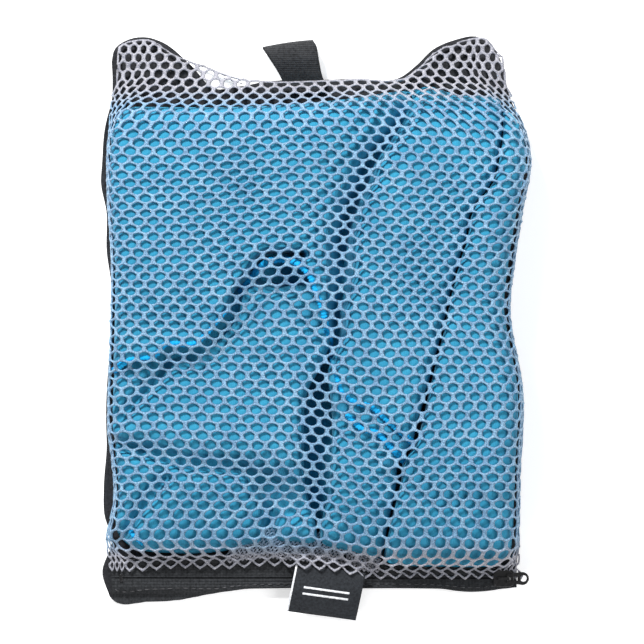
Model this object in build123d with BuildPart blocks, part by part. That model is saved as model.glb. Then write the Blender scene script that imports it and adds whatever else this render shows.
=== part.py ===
"""Quick dry travel towel, folded into its zipped mesh pouch. Millimetres, +Z up.

The pouch lies on its back panel. X runs along the zip and Y from the zip to the hang loop, and
the origin is on the underside of the back panel. Each sub-part is written to parts/ under its
node's name.
"""
import math
import os

from build123d import *

# Cloth thicknesses
back_cloth = 0.8
net_cloth = 0.8
tape_cloth = 0.7
zip_cloth = 0.6
thread = 0.3

# Pouch outline
half_width = 84.5
bottom_y = -110.3
top_seam_y = 97.0
ear_y = 114.0
ear_x = 67.0
ear_shoulder_y = 102.0
ear_foot_left = -24.0
ear_foot_right = 34.0

# The bulge of the mesh over the towel
bulge_half_width = 83.0
bulge_bottom_y = -97.5
bulge_top_y = 91.0
bulge_top_z = 33.0
bulge_round = 14.0

# Zip: two tapes with a groove between them, and coil sewn to their inner faces
zip_y = -103.0
zip_groove = 1.0
zip_z = 4.0
zip_half_length = 83.0
tape_outer_y = -109.5
coil_start_x = -77.0
coil_end_x = 80.0
coil_pitch = 2.0
coil_tooth = 1.0
coil_rail = 0.5
coil_reach = 0.9
coil_height = 0.7
stop_length = 1.2
stop_width = 3.2
stop_height = 0.6

# Slider, at the closed end, and its pull, which points past the end of the zip
slider_x = 75.5
slider_length = 8.4
slider_width = 7.0
plate = 0.8
plate_gap_low = 1.0
plate_gap_high = 0.35
post_width = 0.5
post_length = 2.4
bridge_width = 1.2
bridge_bar = 0.9
bridge_rise = 1.35
bridge_length = 5.6
pull_pivot = 1.4
pull_bar = 0.45
pull_length = 6.0
pull_round = 2.6
pull_root_width = 3.6
pull_window = 4.4
pull_window_width = 1.7
pull_hole = 1.3

# Hang loop: a tape folded over, both ends caught in the top seam
loop_x = -5.0
loop_width = 17.0
loop_eye_y = 109.5
loop_eye_z = 4.9
loop_eye_radius = 3.5
loop_root_start = 91.6
loop_root_end = 95.8
loop_free_start = 97.5

# Label: a woven strip folded over, its ends caught under the edge of the mesh
label_x = 5.0
label_width = 28.0
label_z = 9.95
label_start_y = -98.8
label_flat_y = -107.5
label_end_y = -119.4
label_end_z = 4.6
mark_rise = 0.2

# Towel, folded small enough for the pouch
towel_half_width = 81.5
towel_bottom_y = -92.0
towel_top_y = 87.0
towel_bottom_z = 1.1
towel_top_z = 30.4
towel_round = 13.0
side_fold_top = (75.0, 73.0)
side_fold_bottom = (28.0, -89.0)
trim_width = 1.8
trim_height = 0.8

# Sewing
stitch_length = 2.6
stitch_width = 0.5
stitch_pitch = 4.0

os.makedirs("parts", exist_ok=True)
pieces = []


def finish(builder, name):
    """Label a finished piece and write its STEP file."""
    builder.part.label = name
    pieces.append(builder.part)
    export_step(builder.part, f"parts/{name}.step")


def row_places(start, end, pitch, skip=None):
    """Evenly spaced places from start to end, without those inside the span skip."""
    count = int((end - start) / pitch)
    places = [start + pitch * (i + 0.5) for i in range(count)]
    if skip is None:
        return places
    return [x for x in places if not skip[0] < x < skip[1]]


# ---- Panels -----------------------------------------------------------------

with BuildSketch() as panel_outline:
    with BuildLine():
        Polyline(
            (-half_width, bottom_y),
            (-half_width, ear_shoulder_y),
            (-ear_x, ear_y),
            (ear_foot_left, top_seam_y),
            (ear_foot_right, top_seam_y),
            (ear_x, ear_y),
            (half_width, ear_shoulder_y),
            (half_width, bottom_y),
            close=True,
        )
    make_face()
    fillet(panel_outline.vertices().group_by(Axis.Y)[-1], 5)
    fillet(panel_outline.vertices().group_by(Axis.Y)[0], 5)

with BuildPart() as back_panel:
    with BuildSketch():
        add(panel_outline.sketch)
    extrude(amount=back_cloth)
finish(back_panel, "back_panel")

# The back panel's lower edge turns up and is sewn under the zip's outer tape.
with BuildPart() as back_panel_hem:
    with BuildSketch(Plane.XY.offset(back_cloth)):
        with Locations((0, (bottom_y + tape_outer_y) / 2)):
            Rectangle(2 * zip_half_length, tape_outer_y - bottom_y)
    extrude(amount=zip_z + zip_cloth - back_cloth)
finish(back_panel_hem, "back_panel_hem")


def bulge_solid(inset):
    """The rounded block that the mesh covers, with its walls and top moved in by inset."""
    with BuildPart() as block:
        with BuildSketch(Plane.XY.offset(back_cloth)):
            with Locations((0, (bulge_top_y + bulge_bottom_y) / 2)):
                RectangleRounded(
                    2 * (bulge_half_width - inset),
                    bulge_top_y - bulge_bottom_y - 2 * inset,
                    bulge_round - inset,
                )
        extrude(amount=bulge_top_z - back_cloth - inset)
        fillet(block.faces().sort_by(Axis.Z)[-1].edges(), bulge_round - inset - 1)
    return block.part


bulge_outside = bulge_solid(0)
bulge_inside = bulge_solid(net_cloth)

# A flat border and the two ears, with the bulge over the towel. The mesh stops at the zip, where
# it leaves the mouth open under its lower edge.
with BuildPart() as front_mesh_panel:
    with BuildSketch(Plane.XY.offset(back_cloth)):
        add(panel_outline.sketch)
    extrude(amount=net_cloth)
    with BuildSketch(Plane.XY.offset(back_cloth)):
        with Locations((0, (bulge_bottom_y + bottom_y) / 2)):
            Rectangle(3 * half_width, bulge_bottom_y - bottom_y)
    extrude(amount=net_cloth, mode=Mode.SUBTRACT)
    add(bulge_outside)
    add(bulge_inside, mode=Mode.SUBTRACT)
    with BuildSketch(Plane.XY.offset(back_cloth)):
        with Locations((0, bulge_bottom_y)):
            Rectangle(2 * (bulge_half_width - bulge_round), 4)
    extrude(amount=zip_z - back_cloth, mode=Mode.SUBTRACT)
finish(front_mesh_panel, "front_mesh_panel")

# ---- Seam stitching ---------------------------------------------------------


def stitch_row(name, plane, places, along_x=True):
    """One node of separate stitches, standing thread high on the plane."""
    size = (stitch_length, stitch_width) if along_x else (stitch_width, stitch_length)
    with BuildPart() as row:
        with BuildSketch(plane):
            with Locations(*places):
                RectangleRounded(*size, stitch_width * 0.45)
        extrude(amount=thread)
    finish(row, name)


border_top = Plane.XY.offset(back_cloth + net_cloth)
side_stitch_x = (half_width + bulge_half_width) / 2
side_rows = row_places(bulge_bottom_y + 4, ear_shoulder_y - 6, stitch_pitch)
for side, name in ((-1, "seam_stitching_left"), (1, "seam_stitching_right")):
    stitch_row(name, border_top, [(side * side_stitch_x, y) for y in side_rows], False)

loop_span = (loop_x - loop_width / 2 - 2, loop_x + loop_width / 2 + 2)
top_rows = row_places(-74, 74, stitch_pitch, loop_span)
stitch_row("seam_stitching_top", border_top, [(x, 94.5) for x in top_rows])

# ---- Zip --------------------------------------------------------------------

front_edge = zip_y + zip_groove / 2
back_edge = zip_y - zip_groove / 2
for name, low, high in (
    ("zip_tape_front", front_edge, bulge_bottom_y),
    ("zip_tape_back", tape_outer_y, back_edge),
):
    with BuildPart() as zip_tape:
        with BuildSketch(Plane.XY.offset(zip_z)):
            with Locations((0, (low + high) / 2)):
                Rectangle(2 * zip_half_length, high - low)
        extrude(amount=zip_cloth)
    finish(zip_tape, name)

coil_middle_x = (coil_start_x + coil_end_x) / 2
coil_teeth = row_places(coil_start_x, coil_end_x, coil_pitch)
for side, name in ((1, "zip_coil_front"), (-1, "zip_coil_back")):
    tip = zip_y + side * zip_groove / 2
    with BuildPart() as coil:
        with BuildSketch(Plane.XY.offset(zip_z - coil_height)):
            with Locations((coil_middle_x, tip + side * (coil_reach + coil_rail / 2))):
                Rectangle(coil_end_x - coil_start_x, coil_rail)
            with Locations(*[(x, tip + side * coil_reach / 2) for x in coil_teeth]):
                Rectangle(coil_tooth, coil_reach)
        extrude(amount=coil_height)
    finish(coil, name)

for name, x in (("zip_stop_closed_end", 81.6), ("zip_stop_open_end", -78.4)):
    with BuildPart() as zip_stop:
        with BuildSketch(Plane.XY.offset(zip_z + zip_cloth)):
            with Locations((x, zip_y)):
                RectangleRounded(stop_length, stop_width, 0.3)
        extrude(amount=stop_height)
        fillet(zip_stop.faces().sort_by(Axis.Z)[-1].edges(), 0.2)
    finish(zip_stop, name)

tape_top = Plane.XY.offset(zip_z + zip_cloth)
zip_rows = row_places(-zip_half_length + 1, zip_half_length - 1, stitch_pitch)
stitch_row("zip_stitching_front", tape_top, [(x, bulge_bottom_y - 0.9) for x in zip_rows])
stitch_row("zip_stitching_back", tape_top, [(x, tape_outer_y + 1.0) for x in zip_rows])

# The slider's two plates hold the tapes between them, and its post runs in the groove.
low_plate_top = zip_z - plate_gap_low
high_plate_bottom = zip_z + zip_cloth + plate_gap_high
with BuildPart() as slider_body:
    with BuildSketch(Plane.XY.offset(low_plate_top - plate)):
        with Locations((slider_x, zip_y)):
            RectangleRounded(slider_length, slider_width - 0.6, 1.8)
    extrude(amount=plate)
    with BuildSketch(Plane.XY.offset(high_plate_bottom)):
        with Locations((slider_x, zip_y)):
            RectangleRounded(slider_length, slider_width, 2.2)
    extrude(amount=plate)
    with BuildSketch(Plane.XY.offset(low_plate_top)):
        with Locations((slider_x + slider_length / 2 - post_length / 2 - 0.8, zip_y)):
            SlotOverall(post_length, post_width)
    extrude(amount=high_plate_bottom - low_plate_top)
    fillet(slider_body.faces().sort_by(Axis.Z)[-1].edges(), 0.3)
    fillet(slider_body.faces().sort_by(Axis.Z)[0].edges(), 0.3)
finish(slider_body, "slider_body")

bridge_z = high_plate_bottom + plate
bridge_top = bridge_z + bridge_rise + bridge_bar
pivot_x = slider_x + pull_pivot
pivot_z = bridge_z + bridge_rise / 2
bridge_end = pivot_x + pull_bar + 0.15 + bridge_bar
bridge_start = bridge_end - bridge_length
with BuildPart() as slider_bridge:
    with BuildSketch(Plane.XZ.offset(-zip_y - bridge_width / 2)):
        with Locations(((bridge_start + bridge_end) / 2, (bridge_z + bridge_top) / 2)):
            Rectangle(bridge_length, bridge_top - bridge_z)
        with Locations(((bridge_start + bridge_end) / 2, bridge_z + bridge_rise / 2)):
            Rectangle(bridge_length - 2 * bridge_bar, bridge_rise, mode=Mode.SUBTRACT)
    extrude(amount=bridge_width)
    fillet(slider_bridge.edges().filter_by(Axis.Y).group_by(Axis.Z)[-1], 0.8)
finish(slider_bridge, "slider_bridge")

# A flat pull with a window for the bridge and a finger hole, turning on a round bar.
with BuildPart() as pull_tab:
    with BuildSketch(Plane.XY.offset(pivot_z - pull_bar)):
        with BuildSketch(mode=Mode.PRIVATE) as pull_ends:
            with Locations((pivot_x + 0.3, zip_y)):
                Rectangle(0.6, pull_root_width)
            with Locations((pivot_x + pull_length, zip_y)):
                Circle(pull_round)
        make_hull(pull_ends.edges())
        with Locations((pivot_x + pull_window / 2, zip_y)):
            Rectangle(pull_window, pull_window_width, mode=Mode.SUBTRACT)
        with Locations((pivot_x + pull_length + 0.4, zip_y)):
            Circle(pull_hole, mode=Mode.SUBTRACT)
    extrude(amount=2 * pull_bar)
    with BuildSketch(Plane.XZ.offset(-zip_y - pull_root_width / 2)):
        with Locations((pivot_x, pivot_z)):
            Circle(pull_bar)
    extrude(amount=pull_root_width)
finish(pull_tab, "pull_tab")

# ---- Hang loop --------------------------------------------------------------

loop_plane = Plane.YZ.offset(loop_x - loop_width / 2)
root_z = back_cloth + net_cloth
root_middle_z = root_z + tape_cloth
with BuildPart() as hang_loop_root:
    with BuildSketch(loop_plane):
        with Locations(((loop_root_start + loop_root_end) / 2, root_middle_z)):
            Rectangle(loop_root_end - loop_root_start, 2 * tape_cloth)
    extrude(amount=loop_width)
finish(hang_loop_root, "hang_loop_root")


def teardrop(start, half_root, radius):
    """Edges whose hull is a teardrop, from a short edge at the seam to a circle at the fold."""
    with BuildSketch(mode=Mode.PRIVATE) as ends:
        with Locations((start + 0.2, root_middle_z)):
            Rectangle(0.4, 2 * half_root)
        with Locations((loop_eye_y, loop_eye_z)):
            Circle(radius)
    return ends.edges()


with BuildPart() as hang_loop_tape:
    with BuildSketch(loop_plane):
        make_hull(teardrop(loop_free_start, tape_cloth, loop_eye_radius + tape_cloth))
        make_hull(
            teardrop(loop_free_start + 1.6, 0.05, loop_eye_radius), mode=Mode.SUBTRACT
        )
    extrude(amount=loop_width)
finish(hang_loop_tape, "hang_loop_tape")

bartack_rows = row_places(loop_x - loop_width / 2 + 0.5, loop_x + loop_width / 2 - 0.5, 3.2)
stitch_row(
    "hang_loop_bartack",
    Plane.XY.offset(root_z + 2 * tape_cloth),
    [(x, y) for x in bartack_rows for y in (92.8, 94.4)],
)

# ---- Label ------------------------------------------------------------------

label_plane = Plane.YZ.offset(label_x - label_width / 2)
with BuildPart() as label_root:
    with BuildSketch(label_plane):
        with Locations((bulge_bottom_y - tape_cloth / 2, label_z - 1.1)):
            Rectangle(tape_cloth, 3.0)
    extrude(amount=label_width)
finish(label_root, "label_root")


# It stands level over the zip, so that the slider passes under it, and then turns down.
with BuildPart() as label_leaf:
    with BuildSketch(label_plane):
        with BuildLine() as label_path:
            level = Line((label_start_y, label_z), (label_flat_y, label_z))
            TangentArc((label_flat_y, label_z), (label_end_y, label_end_z), tangent=level % 1)
        trace(label_path.edges(), line_width=tape_cloth)
    extrude(amount=label_width)
finish(label_leaf, "label_leaf")

# Two plain woven bands across the label, in its light weft.
with BuildPart() as label_woven_mark:
    for low, high in ((-106.5, -105.3), (-103.7, -102.5)):
        with BuildSketch(Plane.XY.offset(label_z + tape_cloth / 2)):
            with Locations((label_x, (low + high) / 2)):
                Rectangle(label_width - 8, high - low)
        extrude(amount=mark_rise)
finish(label_woven_mark, "label_woven_mark")

label_rows = row_places(label_x - label_width / 2 + 1, label_x + label_width / 2 - 1, 3.6)
stitch_row(
    "label_stitching",
    Plane.XZ.offset(-(bulge_bottom_y - tape_cloth)),
    [(x, label_z - 1.8) for x in label_rows],
)

# ---- Towel ------------------------------------------------------------------

with BuildPart() as towel_bundle:
    with BuildSketch(Plane.XY.offset(towel_bottom_z)):
        with Locations((0, (towel_top_y + towel_bottom_y) / 2)):
            RectangleRounded(2 * towel_half_width, towel_top_y - towel_bottom_y, towel_round)
    extrude(amount=towel_top_z - towel_bottom_z)
    fillet(towel_bundle.faces().sort_by(Axis.Z)[-1].edges(), towel_round - 1)
    fillet(towel_bundle.faces().sort_by(Axis.Z)[0].edges(), 4)

# The last fold stands along the right-hand side, behind a slanting crease.
crease_x = side_fold_top[0] - side_fold_bottom[0]
crease_y = side_fold_top[1] - side_fold_bottom[1]
crease_length = math.hypot(crease_x, crease_y)
crease_plane = Plane(
    origin=(side_fold_bottom[0], side_fold_bottom[1], 0),
    x_dir=(0, 0, 1),
    z_dir=(crease_y / crease_length, -crease_x / crease_length, 0),
)
for name, side in (("towel_side_fold", Keep.TOP), ("towel_folded_stack", Keep.BOTTOM)):
    with BuildPart() as towel_piece:
        add(towel_bundle.part)
        split(bisect_by=crease_plane, keep=side)
    finish(towel_piece, name)

# The overlocked edge of the towel's free end crosses the top of the stack in two stretches.
upper_hem = [(-66, -15), (-46, -8), (-28, 12), (-17, 24), (-4, 22), (2, 4), (7, -8)]
lower_hem = [(9, -25), (18, -35), (34, -47)]
for name, points in (("towel_hem_edging_upper", upper_hem), ("towel_hem_edging_lower", lower_hem)):
    with BuildPart() as hem_edging:
        with BuildSketch(Plane.XY.offset(towel_top_z)):
            with BuildLine() as hem_path:
                FilletPolyline(*points, radius=4)
            trace(hem_path.edges(), line_width=trim_width)
        extrude(amount=trim_height)
    finish(hem_edging, name)

whole = Compound(children=pieces).bounding_box()
print(len(pieces), "pieces, from", whole.min, "to", whole.max)
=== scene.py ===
import math

import bpy
import numpy as np
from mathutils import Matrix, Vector


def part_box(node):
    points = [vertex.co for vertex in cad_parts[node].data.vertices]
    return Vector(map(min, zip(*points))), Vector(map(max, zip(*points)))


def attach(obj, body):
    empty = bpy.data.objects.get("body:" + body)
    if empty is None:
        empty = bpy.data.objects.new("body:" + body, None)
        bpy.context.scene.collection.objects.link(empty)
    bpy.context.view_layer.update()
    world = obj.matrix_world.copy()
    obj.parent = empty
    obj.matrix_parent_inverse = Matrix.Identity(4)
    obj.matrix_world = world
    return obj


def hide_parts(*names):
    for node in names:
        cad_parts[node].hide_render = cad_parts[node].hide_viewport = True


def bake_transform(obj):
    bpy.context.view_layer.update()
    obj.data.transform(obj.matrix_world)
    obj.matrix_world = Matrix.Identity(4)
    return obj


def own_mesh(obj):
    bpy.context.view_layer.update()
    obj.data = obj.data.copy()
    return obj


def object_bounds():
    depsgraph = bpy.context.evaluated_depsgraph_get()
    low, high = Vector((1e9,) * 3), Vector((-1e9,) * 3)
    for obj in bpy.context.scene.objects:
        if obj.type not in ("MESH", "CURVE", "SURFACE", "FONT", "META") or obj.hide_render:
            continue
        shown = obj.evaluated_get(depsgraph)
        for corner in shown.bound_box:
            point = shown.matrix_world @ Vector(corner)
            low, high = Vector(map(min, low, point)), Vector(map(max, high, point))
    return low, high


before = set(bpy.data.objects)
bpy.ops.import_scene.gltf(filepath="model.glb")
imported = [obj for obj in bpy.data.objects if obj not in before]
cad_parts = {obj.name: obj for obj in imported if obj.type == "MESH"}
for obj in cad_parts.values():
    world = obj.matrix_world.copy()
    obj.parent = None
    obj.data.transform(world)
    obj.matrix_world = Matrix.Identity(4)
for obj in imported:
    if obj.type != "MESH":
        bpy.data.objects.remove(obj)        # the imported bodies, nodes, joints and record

MM = 0.001
cad_low, cad_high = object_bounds()
chance = np.random.default_rng(7)


# ---- The frame's measures ----------------------------------------------------------------------

def box_mm(node):
    """A CAD node's lowest and highest corners, in millimetres."""
    return [np.array(corner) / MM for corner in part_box(node)]


panel_low, panel_high = box_mm("back_panel")
mesh_low, _ = box_mm("front_mesh_panel")
stack_low, stack_high = box_mm("towel_folded_stack")
front_tape_low, front_tape_high = box_mm("zip_tape_front")
_, back_tape_high = box_mm("zip_tape_back")
loop_low, loop_high = box_mm("hang_loop_tape")
loop_root_low, loop_root_high = box_mm("hang_loop_root")
label_low, label_high = box_mm("label_leaf")
slider_low, slider_high = box_mm("slider_body")

half = panel_high[0]                    # half the pouch's width
zip_edge = mesh_low[1]                  # the mesh's lower edge
seam_top = loop_root_high[1] + 1.2      # the top seam, between the ears
pouch_length = seam_top - zip_edge
floor_z = panel_low[2]
seam_z = floor_z + 2.1                  # the height of the flat seams round the pouch
cloth_bottom = stack_low[2]             # the folded towel's underside and top
cloth_top = stack_high[2]
zip_middle = (front_tape_low[1] + back_tape_high[1]) / 2
tape_z = (front_tape_low[2] + front_tape_high[2]) / 2
slider_half = (slider_high[1] - slider_low[1]) / 2
slider_clear = slider_half + .2         # how far the tapes stay level beside the zip's middle


def shares(across, up, first=(0, 1), second=(0, 1)):
    """Two grids of even shares, the first rising by row and the second by column."""
    return np.meshgrid(np.linspace(*first, across), np.linspace(*second, up), indexing="ij")


def lengths_along(path):
    """The length run at each point of a path."""
    return np.concatenate([[0], np.cumsum(np.linalg.norm(np.diff(path, axis=0), axis=1))])


def path_at(path, run, at):
    """The points of a path at the given lengths."""
    return np.stack([np.interp(at, run, path[:, k]) for k in range(3)], axis=-1)


def unit(vectors):
    """Vectors of length 1 in the same directions."""
    return vectors / np.maximum(np.linalg.norm(vectors, axis=-1, keepdims=True), 1e-9)


def points_of(x, y, z):
    """Points from their x, y and z, any of which may be a single value."""
    return np.stack(np.broadcast_arrays(x, y, z), axis=-1)


def smooth_curve(points):
    """A smooth function through a few (place, value) points."""
    at, value = np.array(points, float).T
    slope = np.gradient(value, at)

    def curve(place):
        place = np.clip(place, at[0], at[-1])
        k = np.clip(np.searchsorted(at, place, side="right") - 1, 0, len(at) - 2)
        width = at[k + 1] - at[k]
        f = (place - at[k]) / width
        return (
            (2 * f**3 - 3 * f**2 + 1) * value[k]
            + (f**3 - 2 * f**2 + f) * width * slope[k]
            + (3 * f**2 - 2 * f**3) * value[k + 1]
            + (f**3 - f**2) * width * slope[k + 1]
        )

    return curve


def along(y):
    """0 at the mesh's lower edge and 1 at the top seam."""
    return (y - zip_edge) / pouch_length


def y_at(share):
    """y at a share of the length, as along gives it."""
    return zip_edge + pouch_length * share


def edge_curve(points):
    """x as a smooth function of y, from points of (share of the length, share of the half width)."""
    curve = smooth_curve(points)
    return lambda y: half * curve(along(y))


def end_curve(points):
    """y as a smooth function of x, from points of (share of the half width, share of the length)."""
    curve = smooth_curve(points)
    return lambda x: y_at(curve(x / half))


# ---- Outlines and creases ----------------------------------------------------------------------

mesh_left = edge_curve([(0, -.985), (.06, -1.0), (.12, -.972), (.3, -.993), (.45, -.978), (.62, -.975),
                        (.8, -.998), (.9, -.99), (1.03, -.965)])
mesh_right = edge_curve([(0, .975), (.2, .985), (.38, .992), (.46, .957), (.52, .934), (.63, .955),
                         (.73, .992), (.85, 1.032), (.91, 1.0), (.95, .958), (1.03, .92)])
# the middle crease, and the one at its right
crease_a = edge_curve([(0, .01), (.12, .0095), (.18, .005), (.28, .0095), (.34, .0095), (.382, .02),
                       (.42, .052), (.444, .071), (.477, .099), (.51, .095), (.563, .118), (.6, .128),
                       (.662, .123), (.695, .142), (.76, .189), (.78, .218), (.818, .237), (.847, .279),
                       (.882, .341), (.915, .4), (1, .5)])
crease_b = edge_curve([(0, .31), (.094, .35), (.18, .393), (.218, .402), (.24, .445), (.292, .483),
                       (.347, .516), (.405, .549), (.46, .582), (.516, .611), (.571, .639), (.625, .672),
                       (.67, .705), (.73, .734), (.783, .824), (.834, .857), (.876, .872), (1, .87)])
towel_top_end = end_curve([(-1, .935), (-.2, .938), (.2, .955), (.42, .972), (.54, .98), (.62, .967),
                           (.68, .96), (.8, .958), (.9, .95), (1, .93)])
towel_low_end = end_curve([(-1, .038), (-.85, .031), (-.45, .03), (-.3, .043), (0, .045), (.2, .024),
                           (.35, .005), (.6, -.001), (.9, .004), (1, .016)])
# The hem of the towel's free end: low at the left, up in an arch, down to the crease, and on
hem_line = end_curve([(-1.05, .39), (-.96, .4), (-.88, .424), (-.82, .43), (-.75, .436), (-.71, .456),
                      (-.64, .459), (-.57, .459), (-.455, .51), (-.34, .575), (-.24, .622), (-.17, .63),
                      (-.1, .624), (-.06, .612), (-.02, .59), (0, .562), (.03, .53), (.06, .47), (.09, .41),
                      (.12, .362), (.16, .346), (.265, .329), (.33, .305), (.42, .27), (.6, .2)])
under_hem_line = end_curve([(-.1, .34), (.1, .325), (.156, .308), (.2, .29), (.3, .272), (.336, .255),
                            (.42, .215), (.6, .15)])
crevice = [(-.474, .476), (-.435, .496), (-.4, .515), (-.385, .55), (-.37, .566), (-.33, .585),
           (-.3, .604), (-.284, .62), (-.24, .638), (-.15, .639), (-.066, .638)]
lower_fold = [(-.965, .255), (-.78, .238), (-.6, .212), (-.36, .207), (-.25, .178)]
lower_pit = [(-.25, .178), (-.222, .14), (-.215, .1), (-.227, .05)]
left_tuck = [(-.70, .42), (-.767, .374), (-.88, .326), (-.925, .3)]
foot_tuck = [(-.72, .18), (-.757, .166), (-.786, .143), (-.828, .121), (-.885, .08), (-.97, .035)]
# creases in the folded columns: (line, depth, width). The lower fold ends in the pit.
column_creases = [(lower_fold, 9, 2.4), (lower_pit, 13, 2.6), (left_tuck, 4.4, 2.4), (foot_tuck, 6, 2.4)]
# hollows in them: (share of the half width, share of the length, wide, tall, depth)
column_hollows = [(-.67, .434, 9, 3.4, 8), (-.235, .165, 5, 4, 12), (-.1, .135, 9, 8, 7)]
arch_middle = -.16                      # the hem's arch, as a share of the half width


# ---- Rounds and folds --------------------------------------------------------------------------

def quarter(t):
    """A quarter of a round: 0 at t 0, 1 from t 1 on."""
    return np.sqrt(1 - (1 - np.clip(t, 0, 1)) ** 2)


def hump(distance, width):
    """1 in the middle, falling smoothly to 0 a few widths away."""
    return np.exp(-((distance / width) ** 2))


def ease(t):
    """A smooth step from 0 at t 0 to 1 at t 1."""
    t = np.clip(t, 0, 1)
    return t * t * (3 - 2 * t)


def ripple(x, y):
    """Slow unevenness of folded cloth, about a millimetre."""
    return (
        .45 * np.sin(x / 11 + .8 * np.sin(y / 17))
        + .4 * np.sin((x + 2.2 * y) / 23 + 1.3)
        + .25 * np.sin((2 * x - y) / 13)
        + .12 * np.sin(x / 3.1 + 2 * np.sin(y / 8))
    )


def line_distance(x, y, points):
    """Distance to a crease through (share of the half width, share of the length) points."""
    nearest = np.full(np.shape(x), 1e9)
    for (u, v), (u2, v2) in zip(points[:-1], points[1:]):
        sx, sy = half * u, y_at(v)
        dx, dy = half * u2 - sx, y_at(v2) - sy
        share = np.clip(((x - sx) * dx + (y - sy) * dy) / (dx * dx + dy * dy), 0, 1)
        nearest = np.minimum(nearest, np.hypot(x - sx - share * dx, y - sy - share * dy))
    return nearest


def spot(x, y, u, v, wide, tall):
    """A soft spot round one place, 1 at its middle."""
    return np.exp(-(((x - half * u) / wide) ** 2) - ((y - y_at(v)) / tall) ** 2)


# ---- The towel's surfaces ----------------------------------------------------------------------

def crown(x, y):
    """Height of the towel's top with no creases in it."""
    v = along(y)
    low_end = 13 * (1 - quarter((v - .025) / .26))
    top_end = 10 * (1 - quarter((.975 - v) / .15))
    return cloth_top - .5 - 1.5 * np.abs(2 * v - 1) ** 3 + ripple(x, y) * .7 - low_end - top_end


# width of the gap along the middle crease, widest in the lower half
valley_gap_curve = smooth_curve([(0, 1.4), (.06, 1.4), (.1, 4.5), (.13, 8), (.17, 11), (.22, 12), (.26, 12.5),
                                 (.335, 11.5), (.37, 8.5), (.40, 4.5), (.43, 3.5), (.5, 1.4), (1, 1.4)])
side_gap_curve = smooth_curve([(0, 1.4), (.1, 1.8), (.2, 2.8), (.27, 2.8), (.4, 2.0), (.6, 1.6), (.75, 1.5),
                               (.88, 1.2), (1, 1.0)])
valley_gap = lambda y: valley_gap_curve(along(y))
side_gap = lambda y: side_gap_curve(along(y))


def column_top(x, y):
    """Height of the folded columns, which the free end lies on, with the creases of the lower half."""
    z = crown(x, y) - 4.6
    v = along(y)
    z = z - 15 * hump(x - crease_a(y), 4.8) * ease((y - hem_line(x)) / 4)
    # hollows under the hem's arch and beside it, where the free end stands clear
    arch_x, arch_y = x - arch_middle * half, y - y_at(.598)
    z = z - 20 * np.exp(-((arch_x / 11.5) ** 4) - (arch_y / 5.2) ** 4)
    z = z - 17 * np.exp(-((line_distance(x, y, crevice) / 2.6) ** 4))
    for line, depth, width in column_creases:
        z = z - depth * hump(line_distance(x, y, line), width)
    for u, w, wide, tall, depth in column_hollows:
        z = z - depth * spot(x, y, u, w, wide, tall)
    # the cloth below the lower fold leans back
    z = z - 2.6 * ease((.23 - v - .07 * x / half) / .06) * ease((crease_a(y) - 4 - x) / 10)
    # the second ply under the hem right of the middle crease
    ply = ease((y - under_hem_line(x)) / .9) * ease((x - crease_a(y)) / 2)
    return z + 1.9 * ply


def flap_top(x, y):
    """Height of the towel's free end, which lies over the columns down to the hem."""
    z = crown(x, y)
    v = along(y)
    across = x - crease_a(y)
    crease_depth, crease_width = 17 - 6 * ease((v - .8) / .15), 3.3 + .9 * ease((v - .5) / .1)
    z = z - crease_depth * np.exp(-np.abs(across / crease_width) ** 2.4)
    z = z - 3.6 * hump(across, np.where(across < 0, 15, 5)) * ease((v - .5) / .2)
    slope = hem_line(x + .5) - hem_line(x - .5)
    edge = (y - hem_line(x)) / np.sqrt(1 + slope**2)
    arch = hump(x - arch_middle * half, 24)
    left = spot(x, y, -.67, .45, 14, 9)
    z = z + (1.8 * arch + 1.2 * left) * hump(edge, 7)
    z = z - 17 * np.exp(-((line_distance(x, y, crevice) / 1.9) ** 3))
    z = z - .8 * hump(edge, 1.2)
    return z


def sides_down(x, y, z, x_low, x_high, round_low, round_high):
    """z brought down in a quarter round at both sides of a column."""
    low = round_low * (1 - quarter((x - x_low) / round_low))
    high = round_high * (1 - quarter((x_high - x) / round_high))
    return z - low - high


end_round = 6.5                         # the round of a column's two ends


def ends_down(x, y, z, y_low, y_high):
    """z brought down in a quarter round at the towel's two ends."""
    low = end_round * (1 - quarter((y - y_low) / end_round))
    high = end_round * (1 - quarter((y_high - y) / end_round))
    return z - low - high


towel_left = lambda y: mesh_left(y) + 3.2
towel_right = lambda y: mesh_right(y) - 4.4
free_left = lambda y: towel_left(y) - .3
free_right = lambda y: crease_b(y) - side_gap(y) / 2 + .2

# name: (left edge, right edge, their two rounds, the two corner rounds in plan, rise above the columns)
columns = {
    "left_folds": (towel_left, lambda y: crease_a(y) - valley_gap(y) / 2, 6, 4.5, 13, 3, 0),
    "middle_folds": (lambda y: crease_a(y) + valley_gap(y) / 2, lambda y: crease_b(y) - side_gap(y) / 2,
                     5.5, 5, 3, 3, 0),
    "side_fold": (lambda y: crease_b(y) + side_gap(y) / 2, towel_right, 4.0, 10, 3, 7, 4.6),
}


def column_ends(name, x, y):
    """Where a column ends along Y at each x, with its corners rounded off in plan."""
    left, right, _, _, corner_left, corner_right, _ = columns[name]
    cut = corner_left * (1 - quarter((x - left(y)) / corner_left))
    cut = cut + corner_right * (1 - quarter((right(y) - x) / corner_right))
    return towel_low_end(x) + cut, towel_top_end(x) - cut


def column_surface(name, x, y):
    """Height of one folded column, with its sides and ends rounded down."""
    left, right, round_left, round_right, _, _, rise = columns[name]
    z = sides_down(x, y, column_top(x, y) + rise, left(y), right(y), round_left, round_right)
    return ends_down(x, y, z, *column_ends(name, x, y))


# ---- Meshes --------------------------------------------------------------------------------------

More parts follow.
